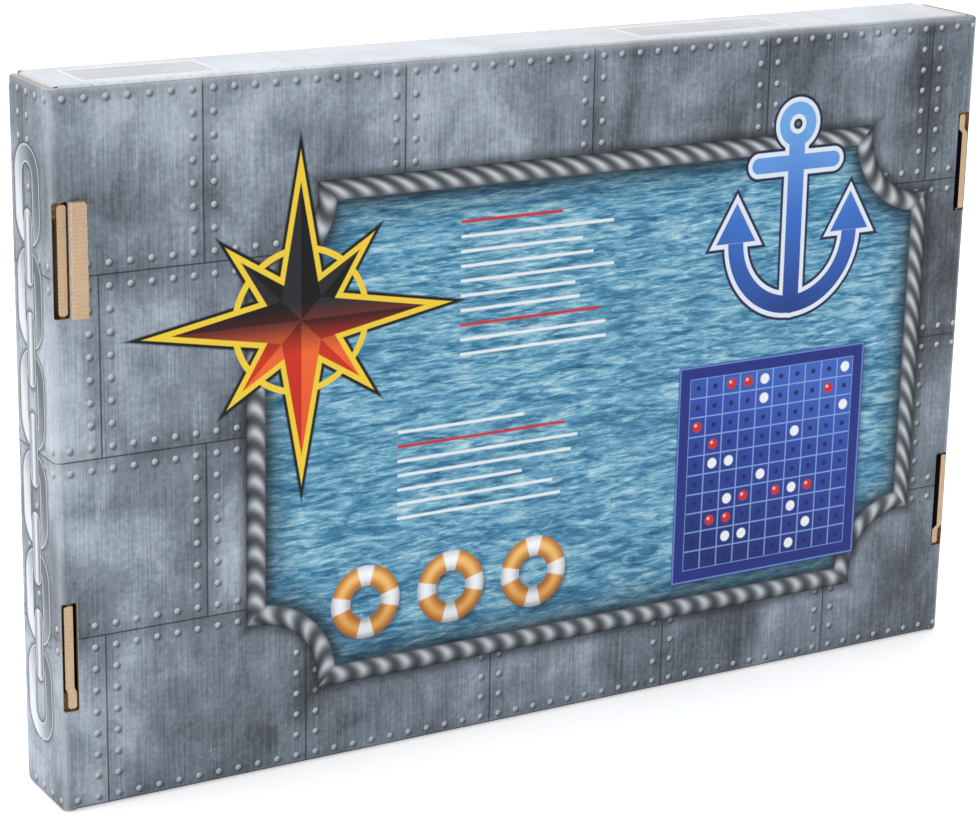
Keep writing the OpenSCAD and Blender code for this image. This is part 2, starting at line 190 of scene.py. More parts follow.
def swell(piece, middle_z, band, move, reach):
    """Bows a panel: points along its middle move, and the rest follow less with their distance."""
    pick(piece, "verts", lambda c: abs(c.x) < BOW_HALF and near(c.z, middle_z, band))
    bpy.ops.transform.translate(value=(0, move, 0), use_proportional_edit=True,
                                proportional_edit_falloff="SMOOTH", proportional_size=reach)


def make_board(piece, skins):
    """Gives a folded sheet the board's thickness inwards: print outside, kraft inside, raw edges."""
    for skin in skins:
        piece.data.materials.append(skin)
    take(piece)
    thick = piece.modifiers.new("board", "SOLIDIFY")
    thick.thickness = BOARD
    thick.offset = -1
    thick.use_even_offset = True
    thick.material_offset = LINER
    thick.material_offset_rim = CUT
    bpy.ops.object.modifier_apply(modifier="board")


def cut_away(piece, cutter):
    """Cuts the cutter's shape out of a piece, with raw board on the cut, and clears the cutter away."""
    for skin in piece.data.materials:
        cutter.data.materials.append(skin)
    for face in cutter.data.polygons:
        face.material_index = CUT
    take(piece)
    cut = piece.modifiers.new("cut", "BOOLEAN")
    cut.operation = "DIFFERENCE"
    cut.solver = "EXACT"
    cut.object = cutter
    bpy.ops.object.modifier_apply(modifier="cut")
    bpy.data.objects.remove(cutter)


def finish_faces(piece):
    take(piece)
    bpy.ops.object.shade_smooth_by_angle(angle=SMOOTH_BELOW)


# Writing a pattern as arithmetic over the sheet

class Tone:
    """A number that varies over a surface. Arithmetic on tones lays the nodes of the pattern."""
    tree = None

    def __init__(self, out):
        self.out = out

    def __add__(self, other):
        return calc("ADD", self, other)

    __radd__ = __add__

    def __sub__(self, other):
        return calc("SUBTRACT", self, other)

    def __rsub__(self, other):
        return calc("SUBTRACT", other, self)

    def __mul__(self, other):
        return calc("MULTIPLY", self, other)

    __rmul__ = __mul__

    def __truediv__(self, other):
        return calc("DIVIDE", self, other)

    def __neg__(self):
        return calc("MULTIPLY", self, -1.0)


def feed(socket, value):
    if isinstance(value, Tone):
        Tone.tree.links.new(value.out, socket)
    else:
        socket.default_value = value


def calc(operation, *terms):
    node = Tone.tree.nodes.new("ShaderNodeMath")
    node.operation = operation
    for socket, term in zip(node.inputs, terms):
        feed(socket, term)
    return Tone(node.outputs[0])


def low(a, b):
    return calc("MINIMUM", a, b)


def high(a, b):
    return calc("MAXIMUM", a, b)


def size_of(a):
    return calc("ABSOLUTE", a)


def fraction(a):
    return calc("FRACT", a)


def whole(a):
    return calc("FLOOR", a)


def length(a, b):
    return calc("SQRT", a * a + b * b)


def ripples(place, pitch):
    """Even waves between 0 and 1."""
    return calc("SINE", place * (2 * math.pi / pitch)) * 0.5 + 0.5


def grade(value, start, end, low_out=0.0, high_out=1.0, smooth=True):
    """Runs from low_out to high_out as the value goes from start to end, and stays there beyond."""
    node = Tone.tree.nodes.new("ShaderNodeMapRange")
    node.interpolation_type = "SMOOTHSTEP" if smooth else "LINEAR"
    feed(node.inputs["Value"], value)
    node.inputs["From Min"].default_value = start
    node.inputs["From Max"].default_value = end
    node.inputs["To Min"].default_value = low_out
    node.inputs["To Max"].default_value = high_out
    return Tone(node.outputs["Result"])


def within(distance, soft=0.14):
    """1 where a signed distance is below zero, 0 outside, with a printed edge's softness in mm."""
    return grade(distance, soft, -soft, smooth=False)


def point(a, b, c):
    node = Tone.tree.nodes.new("ShaderNodeCombineXYZ")
    for socket, value in zip(node.inputs, (a, b, c)):
        feed(socket, value)
    return Tone(node.outputs[0])


def grain(a, b, detail, rough, distortion=0.0, seed=0.0):
    """Soft random mottling over the two coordinates, between about 0 and 1."""
    node = Tone.tree.nodes.new("ShaderNodeTexNoise")
    node.noise_dimensions = "3D"
    node.noise_type = "FBM"
    node.inputs["Scale"].default_value = 1.0
    node.inputs["Detail"].default_value = detail
    node.inputs["Roughness"].default_value = rough
    node.inputs["Distortion"].default_value = distortion
    feed(node.inputs["Vector"], point(a, b, seed))
    return Tone(node.outputs[0])


def chance(a, b, seed):
    """One random number for each whole pair of numbers."""
    node = Tone.tree.nodes.new("ShaderNodeTexWhiteNoise")
    node.noise_dimensions = "3D"
    feed(node.inputs["Vector"], point(a, b, seed))
    return Tone(node.outputs["Value"])


def srgb(red, green, blue):
    """An ink's colour as a paint chart gives it, 0 to 255, made linear."""
    def linear(c):
        c /= 255
        return c / 12.92 if c <= 0.04045 else ((c + 0.055) / 1.055) ** 2.4
    return (linear(red), linear(green), linear(blue), 1.0)


def ramp(value, stops):
    node = Tone.tree.nodes.new("ShaderNodeValToRGB")
    band = node.color_ramp.elements
    while len(band) < len(stops):
        band.new(0.5)
    for stop, (place, colour) in zip(band, stops):
        stop.position = place
        stop.color = colour
    feed(node.inputs["Fac"], value)
    return Tone(node.outputs["Color"])


def ink(under, over, cover):
    """Prints one colour over another where cover is 1."""
    node = Tone.tree.nodes.new("ShaderNodeMix")
    node.data_type = "RGBA"
    feed(node.inputs[0], cover)
    feed(node.inputs[6], under)
    feed(node.inputs[7], over)
    return Tone(node.outputs[2])


def new_finish(name):
    """A new material, in which the tones that follow are laid."""
    finish = bpy.data.materials.new(name)
    finish.use_nodes = True
    Tone.tree = finish.node_tree
    return finish, finish.node_tree.nodes["Principled BSDF"]


def split_mm(place):
    """The three numbers of a place in metres, in mm."""
    split = Tone.tree.nodes.new("ShaderNodeSeparateXYZ")
    Tone.tree.links.new(place, split.inputs[0])
    return [Tone(out) * 1000.0 for out in split.outputs]


def object_place():
    """The surface point's x, y and z in mm."""
    return split_mm(Tone.tree.nodes.new("ShaderNodeTexCoord").outputs["Object"])


def sheet_place():
    """The point's place on the unfolded sheet in mm: across from the middle, up from the bottom crease."""
    place = Tone.tree.nodes.new("ShaderNodeUVMap")
    place.uv_map = "unfolded"
    return split_mm(place.outputs[0])[:2]


def emboss(shader, height, depth):
    """Bump from a height between 0 and 1, with its depth in metres."""
    node = Tone.tree.nodes.new("ShaderNodeBump")
    node.inputs["Strength"].default_value = 1.0
    node.inputs["Distance"].default_value = depth
    feed(node.inputs["Height"], height)
    Tone.tree.links.new(node.outputs[0], shader.inputs["Normal"])


def dull(shader, colour, roughness, height, depth, specular=0.5):
    """Bare paper, board or card: an even roughness and a fine relief."""
    feed(shader.inputs["Base Color"], colour)
    shader.inputs["Roughness"].default_value = roughness
    shader.inputs["Specular IOR Level"].default_value = specular
    emboss(shader, height, depth)


# Printed sheets

PLATE_W, PLATE_H = 74.0, 61.1
PLATE_START = 21.0
RIVETS_ACROSS, RIVETS_UP = 10, 8
RIVET_R = 1.02


def steel_plates(u, v, seed):
    """Printed ground: brushed grey plates with seams and close rows of round rivets."""
    row = whole(v / PLATE_H)
    along = u + fraction(row * 0.5) * PLATE_W + PLATE_START
    across = fraction(along / PLATE_W) * PLATE_W - PLATE_W / 2
    up = fraction(v / PLATE_H) * PLATE_H - PLATE_H / 2
    edge = low(PLATE_W / 2 - size_of(across), PLATE_H / 2 - size_of(up))
    clouds = grain(u * 0.016, v * 0.011, 3.0, 0.5, 0.4, seed)
    brushing = grain(u * 1.5, v * 0.035, 3.0, 0.6, 0.0, seed + 3.0)
    stains = grain(u * 0.055, v * 0.045, 4.0, 0.6, 0.5, seed + 5.0)
    pits = grain(u * 0.5, v * 0.5, 3.0, 0.65, 0.0, seed + 7.0)
    plate = chance(whole(along / PLATE_W), row, seed)
    fall = grade(u - v * 0.55, -250.0, 190.0, smooth=False)
    tone = clouds * 1.2 + stains * 0.55 + brushing * 0.42 + pits * 0.3 + plate * 0.12 - fall * 0.14 - 0.7
    colour = ramp(tone, [(0.12, srgb(42, 45, 51)), (0.34, srgb(86, 92, 100)),
                         (0.56, srgb(126, 138, 151)), (0.86, srgb(188, 200, 212))])
    flecks = grain(u * 1.2, v * 1.2, 2.0, 0.5, 0.0, seed + 17.0)
    colour = ink(colour, srgb(196, 206, 214), grade(flecks, 0.62, 0.72) * grade(stains, 0.48, 0.62) * 0.4)
    colour = ink(colour, srgb(34, 38, 44), grade(edge, 7.0, 0.0) * 0.28)
    colour = ink(colour, srgb(30, 30, 33), within(edge - 0.24, 0.18) * 0.9)
    pitch_u, pitch_v = PLATE_W / RIVETS_ACROSS, PLATE_H / RIVETS_UP
    on_rim = high(calc("GREATER_THAN", size_of(across), PLATE_W / 2 - pitch_u),
                  calc("GREATER_THAN", size_of(up), PLATE_H / 2 - pitch_v))
    da = (fraction(across / pitch_u) - 0.5) * pitch_u
    db = (fraction(up / pitch_v) - 0.5) * pitch_v
    shadow = within(length(da - 0.4, db + 0.45) - RIVET_R * 1.15, 0.45)
    dome = ramp(grade((db - da) / RIVET_R, -1.5, 1.5, smooth=False),
                [(0.0, srgb(96, 102, 110)), (0.45, srgb(168, 175, 182)), (1.0, srgb(214, 219, 224))])
    colour = ink(colour, srgb(38, 42, 48), shadow * on_rim * 0.75)
    return ink(colour, dome, within(length(da, db) - RIVET_R, 0.2) * on_rim)


def open_water(u, v, seed):
    """Printed water: small wavelets that get closer together with distance."""
    rise = v * (1.0 + v * 0.0022)
    swell_form = grain(u * 0.045, rise * 0.16, 4.0, 0.6, 1.2, seed)
    chop = grain(u * 0.13, rise * 0.5, 4.0, 0.6, 0.8, seed + 5.0)
    glint = grain(u * 0.10, rise * 0.42, 4.0, 0.55, 0.9, seed + 9.0)
    tone = swell_form * 1.1 + chop * 1.1 - 0.57
    colour = ramp(tone, [(0.14, srgb(24, 74, 106)), (0.4, srgb(62, 126, 162)),
                         (0.6, srgb(108, 168, 196)), (0.9, srgb(190, 222, 230))])
    ridge = grade(size_of(glint - 0.5), 0.02, 0.0)
    colour = ink(colour, srgb(208, 230, 236), ridge * grade(tone, 0.4, 0.66) * 0.5)
    return ink(colour, srgb(26, 54, 66), grade(v, 80.0, 20.0) * 0.1)


def block_distance(du, dv, half_u, half_v):
    return high(size_of(du) - half_u, size_of(dv) - half_v)


def scooped_panel(du, dv, half_u, half_v, scoop):
    """Signed distance to a panel with four scooped corners, and how far along its border the place is."""
    corner_u, corner_v = size_of(du) - half_u, size_of(dv) - half_v
    block = high(corner_u, corner_v)
    dip = scoop - length(corner_u, corner_v)
    turn = calc("ARCTAN2", corner_v, corner_u) * scoop
    along = du + dv + calc("GREATER_THAN", dip, block) * (turn - du - dv)
    return high(block, dip), along


def rope_border(colour, distance, along, width):
    """Twisted steel rope laid along a line of equal distance."""
    t = distance / width
    strand = fraction(along / 8.5 + t * t * 0.26 + t * 0.22)
    form = grade(size_of(strand - 0.5), 0.0, 0.5, 1.0, 0.2)
    roundness = calc("SQRT", high(1.0 - t * t, 0.02))
    tone = form * roundness * 0.75 + (0.1 - t * 0.12)
    rope = ramp(tone, [(0.05, srgb(28, 31, 35)), (0.35, srgb(84, 89, 95)),
                       (0.62, srgb(136, 142, 148)), (0.9, srgb(204, 209, 213))])
    colour = ink(colour, srgb(14, 18, 24), grade(size_of(distance), width + 4.5, width - 0.3) * 0.7)
    return ink(colour, rope, within(size_of(distance) - width, 0.16))


def outlined(colour, distance, fill, line, line_w, edge, edge_w):
    """An emblem with a line round it and a thin dark edge round that."""
    colour = ink(colour, edge, within(distance - line_w - edge_w, 0.25))
    colour = ink(colour, line, within(distance - line_w))
    return ink(colour, fill, within(distance))


def capsule(du, dv, au, av, bu, bv, radius):
    """Signed distance to a round-ended bar between two points."""
    ru, rv = bu - au, bv - av
    pu, pv = du - au, dv - av
    share = grade((pu * ru + pv * rv) / (ru * ru + rv * rv), 0.0, 1.0, smooth=False)
    return length(pu - share * ru, pv - share * rv) - radius


def anchor(colour, u, v, at, scale):
    """A plain blue anchor with a pale line round it."""
    du, dv = (u - at[0]) / scale, (v - at[1]) / scale
    arm = high(size_of(length(du, dv + 8.0) - 26.0) - 3.4, dv + 8.0)
    side = size_of(du)
    fluke = high(high((side - 26.0) * 0.85 + (dv + 8.0) * 0.5 - 7.5,
                      (26.0 - side) * 0.85 + (dv + 8.0) * 0.5 - 7.5), -8.0 - dv)
    shape = low(low(low(capsule(du, dv, 0.0, -34.0, 0.0, 27.0, 3.6),
                        size_of(length(du, dv - 34.5) - 6.0) - 2.3),
                    capsule(side, dv, 0.0, 20.0, 17.0, 20.0, 3.0)), low(arm, fluke))
    shade = ramp(grade(dv, -38.0, 42.0, smooth=False) + size_of(fraction(du * 0.03 + 0.5) - 0.5) * 0.15,
                 [(0.05, srgb(30, 62, 138)), (0.5, srgb(58, 112, 200)), (0.95, srgb(112, 168, 232))])
    return outlined(colour, shape * scale, shade, srgb(224, 232, 244), 1.7, srgb(24, 36, 74), 1.1)


def pointed_star(du, dv, tip, waist):
    """Signed distance to a four-pointed star, and which half of a point the place is in."""
    side_u, side_v = size_of(du), size_of(dv)
    far, near_side = high(side_u, side_v), low(side_u, side_v)
    run, rise = tip - waist, waist
    reach = math.hypot(run, rise)
    distance = (far - tip) * (rise / reach) + near_side * (run / reach)
    half = calc("GREATER_THAN", du * dv * (side_u - side_v), 0.0)
    return distance, half


def compass_star(colour, u, v, at, radius):
    """Compass star, black above and red below, with a yellow line round it."""
    du, dv = u - at[0], v - at[1]
    slant = math.sqrt(0.5)
    small, small_half = pointed_star((du + dv) * slant, (dv - du) * slant, radius * 0.66, radius * 0.13)
    large, large_half = pointed_star(du, dv, radius, radius * 0.155)
    shade = grade(dv, -radius * 0.75, radius * 0.65, smooth=False)
    dark = ramp(shade, [(0.0, srgb(196, 34, 18)), (0.36, srgb(206, 48, 22)),
                        (0.52, srgb(64, 16, 14)), (0.62, srgb(6, 6, 9))])
    pale = ramp(shade, [(0.0, srgb(236, 88, 40)), (0.36, srgb(240, 104, 48)),
                        (0.52, srgb(108, 40, 30)), (0.62, srgb(36, 37, 42))])
    ring = size_of(length(du, dv) - radius * 0.52) - 1.1
    colour = ink(colour, srgb(14, 16, 20), within(low(small, large) - 3.1, 0.35))
    colour = ink(colour, srgb(240, 206, 58), within(low(low(small, large) - 1.9, ring)))
    colour = ink(colour, ink(dark, pale, small_half), within(small))
    return ink(colour, ink(dark, pale, large_half), within(large))


CHART_CELLS = 10
CHART_RIM = 5.0


def plotting_chart(colour, u, v, at, half):
    """A square chart of a plain grid in deep blue, with a scatter of white and red dots."""
    du, dv = u - at[0], v - at[1]
    pitch = 2 * half / CHART_CELLS
    cu, cv = (du + half) / pitch, (dv + half) / pitch
    inner = block_distance(du, dv, half, half)
    mu, mv = fraction(cu) - 0.5, fraction(cv) - 0.5
    line = 0.5 - high(size_of(mu), size_of(mv))
    spot = length(mu, mv)
    pull = chance(whole(cu), whole(cv), 4.0)
    white, red = calc("GREATER_THAN", pull, 0.86), calc("LESS_THAN", pull, 0.09)
    field = ramp(grade(dv + du * 0.4, -half, half, smooth=False),
                 [(0.0, srgb(22, 40, 120)), (0.6, srgb(38, 66, 160)), (1.0, srgb(60, 98, 190))])
    field = ink(field, srgb(142, 178, 226), within(line - 0.035, 0.02) * 0.8)
    field = ink(field, srgb(18, 30, 92), within(spot - 0.13, 0.03))
    dot = within(spot - 0.27, 0.03)
    lit = within(length(mu + 0.08, mv - 0.09) - 0.07, 0.05)
    field = ink(field, srgb(238, 242, 246), dot * white)
    field = ink(field, srgb(206, 40, 34), dot * red)
    field = ink(field, srgb(255, 255, 255), lit * red * 0.7)
    shadow = block_distance(du - 1.2, dv + 1.6, half + CHART_RIM, half + CHART_RIM)
    colour = ink(colour, srgb(8, 14, 30), within(shadow, 1.6) * 0.6)
    colour = ink(colour, srgb(30, 44, 128), within(inner - CHART_RIM))
    colour = ink(colour, srgb(104, 138, 208), within(size_of(inner - 4.4) - 0.3, 0.2))
    return ink(colour, field, within(inner))


def lifebuoys(colour, u, v, first, step, count, radius):
    """A row of orange and white ring buoys."""
    places = grade((u - first[0]) / step + 0.5, 0.0, count - 0.001, 0.0, count - 0.001, smooth=False)
    du = u - first[0] - whole(places) * step
    dv = v - first[1]
    reach = length(du, dv)
    ring = size_of(reach - radius * 0.72) - radius * 0.28
    turn = calc("ARCTAN2", dv, du) / (2 * math.pi)
    white_band = within(size_of(fraction(turn * 4.0 + 0.5) - 0.5) - 0.17, 0.02)
    curve = grade(size_of(reach - radius * 0.74), 0.0, radius * 0.28, 1.0, 0.45)
    light = curve * (0.8 + dv / (radius * 6.0))
    orange = ramp(light, [(0.2, srgb(120, 66, 20)), (0.55, srgb(206, 136, 60)),
                          (0.9, srgb(246, 196, 118))])
    white = ramp(light, [(0.2, srgb(128, 132, 138)), (0.55, srgb(222, 226, 230)),
                         (0.9, srgb(252, 252, 252))])
    shadow = size_of(length(du - 1.0, dv + 1.4) - radius * 0.72) - radius * 0.28
    colour = ink(colour, srgb(18, 40, 62), within(shadow, 0.9) * 0.55)
    return ink(colour, ink(orange, white, white_band), within(ring))


def between(u, v, low_corner, high_corner):
    """Signed distance to an upright block, given by two of its corners."""
    return high(high(low_corner[0] - u, u - high_corner[0]), high(low_corner[1] - v, v - high_corner[1]))


def ruled_lines(colour, u, v, low_corner, high_corner, pitch, inks, red_share, seed):
    """Blank ruled lines of uneven length in one ink, with a few of them in another."""
    row = whole((v - low_corner[1]) / pitch)
    up = fraction((v - low_corner[1]) / pitch) * pitch
    wide = high_corner[0] - low_corner[0]
    end = low_corner[0] + wide * (0.62 + 0.38 * chance(row, seed, 2.0))
    region = between(u, v, low_corner, (end, high_corner[1]))
    line = high(size_of(up - pitch / 2) - pitch * 0.11, region)
    red = calc("LESS_THAN", chance(row, seed, 8.0), red_share)
    return ink(colour, ink(inks[0], inks[1], red), within(line, 0.2) * 0.92)


LINK_PITCH = 34.0
CHAIN_START = 20.0
CHAIN_LINKS = 6
# A distance across the chain's ends counts this many times over, so that no outline runs past them
END_CUT = 20.0


def chain_band(colour, u, v, middle):
    """A chain that hangs along the end wall, pale with a dark edge."""
    start, end = CHAIN_START, CHAIN_START + CHAIN_LINKS * LINK_PITCH
    du = u - middle
    part = (v - start) / LINK_PITCH
    dv = (fraction(part) - 0.5) * LINK_PITCH
    dv_bar = (fraction(part + 0.5) - 0.5) * LINK_PITCH
    ring = high(size_of(capsule(du, dv, 0.0, -6.5, 0.0, 6.5, 7.2)) - 2.5, high(start - v, v - end) * END_CUT)
    bar = high(capsule(du, dv_bar, 0.0, -9.5, 0.0, 9.5, 2.7),
               high(start + LINK_PITCH / 2 - v, v - end + LINK_PITCH / 2) * END_CUT)
    shade = ramp(grade(du + dv * 0.3, -10.0, 10.0, smooth=False),
                 [(0.1, srgb(214, 219, 225)), (0.45, srgb(150, 158, 168)), (0.9, srgb(84, 92, 103))])
    bar_shade = ramp(grade(du, -2.7, 2.7, smooth=False),
                     [(0.1, srgb(128, 136, 146)), (0.4, srgb(222, 227, 232)), (0.9, srgb(80, 88, 98))])
    colour = ink(colour, srgb(52, 58, 66), within(low(ring, bar) - 1.9, 0.7) * 0.55)
    colour = outlined(colour, ring, shade, srgb(196, 201, 206), 0.5, srgb(58, 64, 72), 0.5)
    return outlined(colour, bar, bar_shade, srgb(196, 201, 206), 0.5, srgb(58, 64, 72), 0.5)


def varnished(shader, colour, u, v, crease_highlight_and_wear):
    """Varnished print on fluted board: creases lightened by a painted highlight with a little wear, a faint
    washboard and uneven gloss.
    """
    scuff_and_highlight_grain = grain(u * 0.9, v * 0.9, 4.0, 0.65, 0.0, 21.0)
    # Painted highlight with a little wear: a pale band along the creases, made uneven by the scuff grain
    colour = ink(colour, srgb(206, 211, 216), crease_highlight_and_wear * grade(scuff_and_highlight_grain, 0.3, 0.6, 0.28, 0.4))
    feed(shader.inputs["Base Color"], colour)
    flutes = ripples(u, 3.1)
    waves = grain(u * 0.05, v * 0.03, 2.0, 0.5, 0.0, 13.0)
    emboss(shader, flutes * 0.12 + waves * 0.8 + scuff_and_highlight_grain * 0.05, 0.09 * MM)
    gloss = grade(grain(u * 0.06, v * 0.06, 3.0, 0.6, 0.0, 31.0), 0.3, 0.7, 0.30, 0.42)
    feed(shader.inputs["Roughness"], gloss)
    shader.inputs["Specular IOR Level"].default_value = 0.16
    shader.inputs["Coat Weight"].default_value = 0.05
    shader.inputs["Coat Roughness"].default_value = 0.16


PANEL_W, PANEL_H = HALF_W * 1000, TOP_Z * 1000
CHAIN_FROM_CREASE = 18.5
WHITE_LINES = (srgb(236, 241, 244), srgb(200, 30, 26))
GREY_LINES = (srgb(128, 133, 138), srgb(200, 132, 124))


def pale_label(colour, u, v, low_corner, high_corner):
    """A pale label block with ruled grey lines."""
    block = between(u, v, low_corner, high_corner)
    colour = ink(colour, srgb(204, 207, 210), within(block))
    colour = ink(colour, srgb(170, 174, 179), within(block + 1.0))
    return ruled_lines(colour, u, v, (low_corner[0] + 3.0, low_corner[1] + 2.5),
                       (high_corner[0] - 3.0, high_corner[1] - 2.5),
                       pitch=2.6, inks=GREY_LINES, red_share=0.15, seed=9.0)


def roped_sea(colour, u, v, centre, half, scoop, rope, seed):
    """The water panel, darker towards the rope that borders it."""
    sea, along = scooped_panel(u - centre[0], v - centre[1], half[0], half[1], scoop)
    water = open_water(u, v, seed)
    water = ink(water, srgb(10, 28, 44), grade(sea, -18.0, -3.0) * 0.6)
    colour = ink(colour, water, within(sea))
    return rope_border(colour, sea, along, rope)


def print_for_tray():
    finish, shader = new_finish("tray_print")
    u, v = sheet_place()
    colour = steel_plates(u, v, seed=1.0)
    colour = roped_sea(colour, u, v, (24.0, 117.0), (138.0, 86.0), scoop=27.0, rope=3.6, seed=4.0)
    colour = ruled_lines(colour, u, v, (-36.0, 138.0), (28.0, 190.0),
                         pitch=5.2, inks=WHITE_LINES, red_share=0.2, seed=1.0)
    colour = ruled_lines(colour, u, v, (-60.0, 82.0), (20.0, 118.0),
                         pitch=5.2, inks=WHITE_LINES, red_share=0.3, seed=5.0)
    colour = lifebuoys(colour, u, v, first=(-72.0, 56.0), step=34.0, count=3, radius=13.5)
    colour = plotting_chart(colour, u, v, at=(98.0, 82.0), half=37.0)
    colour = anchor(colour, u, v, at=(104.0, 176.0), scale=0.98)
    colour = compass_star(colour, u, v, at=(-97.0, 160.0), radius=47.0)
    for side in (-1, 1):
        colour = chain_band(colour, u, v, side * (PANEL_W + CHAIN_FROM_CREASE))
    # Painted light: the top wall washed pale from its crease on, standing in for the glare of the lights
    # above and behind
    colour = ink(colour, srgb(190, 194, 199), grade(v, PANEL_H - 0.5, PANEL_H + 5.0) * 0.78)
    colour = pale_label(colour, u, v, (-170.0, PANEL_H + 8.0), (-122.0, PANEL_H + 29.0))
    colour = pale_label(colour, u, v, (40.0, PANEL_H + 8.0), (104.0, PANEL_H + 29.0))
    # Distances to the end and top creases, where a painted highlight with a little wear is laid
    end_crease = size_of(size_of(u) - PANEL_W)
    top_crease = size_of(v - PANEL_H)
    # Painted shade: a near-black line along the underside of the bottom crease, from just inside the left
    # end
    bottom_crease_shade = grade(v, 1.4, 0.2) * grade(v, -5.0, -3.0)
    colour = ink(colour, srgb(20, 22, 36), bottom_crease_shade * grade(u, -183.0, -177.0) * 0.9)
    varnished(shader, colour, u, v, high(grade(end_crease, 3.2, 0.2), grade(top_crease, 3.6, 0.2)))
    return finish


def print_for_lid():
    finish, shader = new_finish("lid_print")
    x, _, v = object_place()
    u = -x
    colour = steel_plates(u, v, seed=12.0)
    colour = roped_sea(colour, u, v, (0.0, 122.0), (150.0, 94.0), scoop=30.0, rope=4.2, seed=15.0)
    colour = compass_star(colour, u, v, at=(0.0, 122.0), radius=66.0)
    for side in (-1, 1):
        colour = anchor(colour, u, v, at=(side * 106.0, 118.0), scale=1.0)
    # Painted highlight with a little wear: pale bands along the lid's creases
    creases = low(size_of(v - PANEL_H), size_of(v - 2.6))
    varnished(shader, colour, u, v, grade(creases, 2.4, 0.2))
    return finish


def plain_kraft():
    """Brown liner: short fibres, blotches and the flutes showing faintly through."""
    finish, shader = new_finish("kraft_liner")
    x, y, z = object_place()
    blotch = grain(x * 0.05 + y * 0.03, z * 0.05 + y * 0.04, 3.0, 0.6, 0.3, 2.0)
    fibres = grain(x * 1.6 + y * 0.9, z * 2.4 + y * 0.8, 4.0, 0.7, 0.3, 5.0)
    flutes = ripples(z, 1.3)
    tone = blotch * 0.18 + fibres * 0.77 + flutes * 0.05
    colour = ramp(tone, [(0.25, srgb(172, 140, 108)), (0.5, srgb(205, 175, 143)),
                         (0.75, srgb(226, 203, 175))])
    dull(shader, colour, 0.82, fibres * 0.6 + flutes * 0.4, 0.03 * MM, specular=0.25)
    return finish


def raw_board_edge():
    """Cut edge of the board: a pale line of face paper, then torn fibres and the hollows of the flutes."""
    finish, shader = new_finish("raw_board_edge")
    x, y, z = object_place()
    hollows = ripples(x + y + z, 2.6)
    torn = grain(x * 1.9 + y * 0.7, z * 1.9 + y * 1.6, 4.0, 0.7, 0.5, 3.0)
    tone = torn * 0.9 + hollows * 0.08
    colour = ramp(tone, [(0.28, srgb(104, 72, 44)), (0.46, srgb(156, 120, 84)),
                         (0.62, srgb(186, 156, 124)), (0.8, srgb(212, 194, 170))])
    skin = low(size_of(y - FACE_Y * 1000), size_of(size_of(x) - PANEL_W))
    colour = ink(colour, srgb(222, 220, 216), grade(skin, 0.5, 0.3))
    dull(shader, colour, 0.9, torn, 0.15 * MM, specular=0.2)
    return finish


def painted_gap_shade():
    """Painted shade for the slot gaps: near black with a faint blue mottle, standing in for the shadow
    beside the tabs.
    """
    finish, shader = new_finish("painted_gap_shade")
    _, y, z = object_place()
    mottle = grain(y * 0.8, z * 0.8, 4.0, 0.6, 0.2, 11.0)
    colour = ramp(mottle, [(0.3, srgb(8, 8, 16)), (0.7, srgb(18, 18, 36))])
    dull(shader, colour, 0.7, mottle, 0.03 * MM, specular=0.2)
    return finish


def torn_paper():
    """Pale tan paper, torn at the fold of the cut-out."""
    finish, shader = new_finish("torn_paper")
    x, y, z = object_place()
    fibres = grain(x * 2.2, z * 1.6 + y, 4.0, 0.7, 0.6, 8.0)
    colour = ramp(fibres, [(0.3, srgb(172, 150, 126)), (0.5, srgb(208, 190, 168)),
                           (0.7, srgb(228, 216, 200))])
    dull(shader, colour, 0.85, fibres, 0.1 * MM)
    return finish


def moulded(name, deep, light, roughness, transmission=0.0, ior=1.5):
    """Moulded plastic: faint flow marks, fine sparkle of the mould's grain, uneven gloss."""
    finish, shader = new_finish(name)
    x, y, z = object_place()
    flow = grain(x * 0.03 + z * 0.01, z * 0.03 + y * 0.05, 3.0, 0.55, 0.8, 4.0)
    spark = grain(x * 2.4 + y * 1.3, z * 2.4 + y * 1.9, 2.0, 0.5, 0.0, 9.0)
    colour = ramp(flow * 0.75 + spark * 0.25, [(0.3, deep), (0.7, light)])
    feed(shader.inputs["Base Color"], colour)
    gloss = grade(flow, 0.3, 0.7, roughness - 0.05, roughness + 0.06)
    feed(shader.inputs["Roughness"], gloss)
    shader.inputs["IOR"].default_value = ior
    shader.inputs["Transmission Weight"].default_value = transmission
    emboss(shader, spark * 0.6 + flow * 0.4, 0.02 * MM)
    return finish


def card_print():
    """Key card: teal with a darker mottle, satin."""
    finish, shader = new_finish("card_print")
    x, _, z = object_place()
    mottle = grain(x * 0.09, z * 0.09, 5.0, 0.62, 0.8, 6.0)
    colour = ramp(mottle, [(0.3, srgb(10, 62, 76)), (0.5, srgb(20, 100, 112)), (0.7, srgb(74, 158, 160))])
    dull(shader, colour, 0.5, mottle, 0.03 * MM)
    return finish


tray_print = print_for_tray()
lid_print = print_for_lid()
kraft = plain_kraft()
raw_edge = raw_board_edge()
paper = torn_paper()
BOARD_SKINS = [tray_print, kraft, raw_edge]
ROLL_SKINS = BOARD_SKINS + [painted_gap_shade()]
LID_SKINS = [lid_print, kraft, raw_edge]


# Carton tray: one sheet folded up from the back panel

def unfold_map(piece):
    """Maps each face by its place on the unfolded sheet, so that the print runs round the creases."""
    layer = piece.data.uv_layers.new(name="unfolded")
    for face in piece.data.polygons:
        on_end = abs(face.center.x) > FLAT_X
        on_long = not on_end and (face.center.z > FLAT_HIGH or face.center.z < FLAT_LOW)
        for corner in face.loop_indices:
            place = piece.data.vertices[piece.data.loops[corner].vertex_index].co
            deep = place.y - FACE_Y
            across, up = place.x, place.z
            if on_end:
                across += math.copysign(deep, place.x)
            elif on_long:
                up += deep if up > TOP_Z / 2 else -deep
            layer.data[corner].uv = (across, up)


END_CORNER = 7 * MM
END_CORNER_STEPS = 6
NEAR_END, NEAR_FLOOR = 4 * MM, 40 * MM


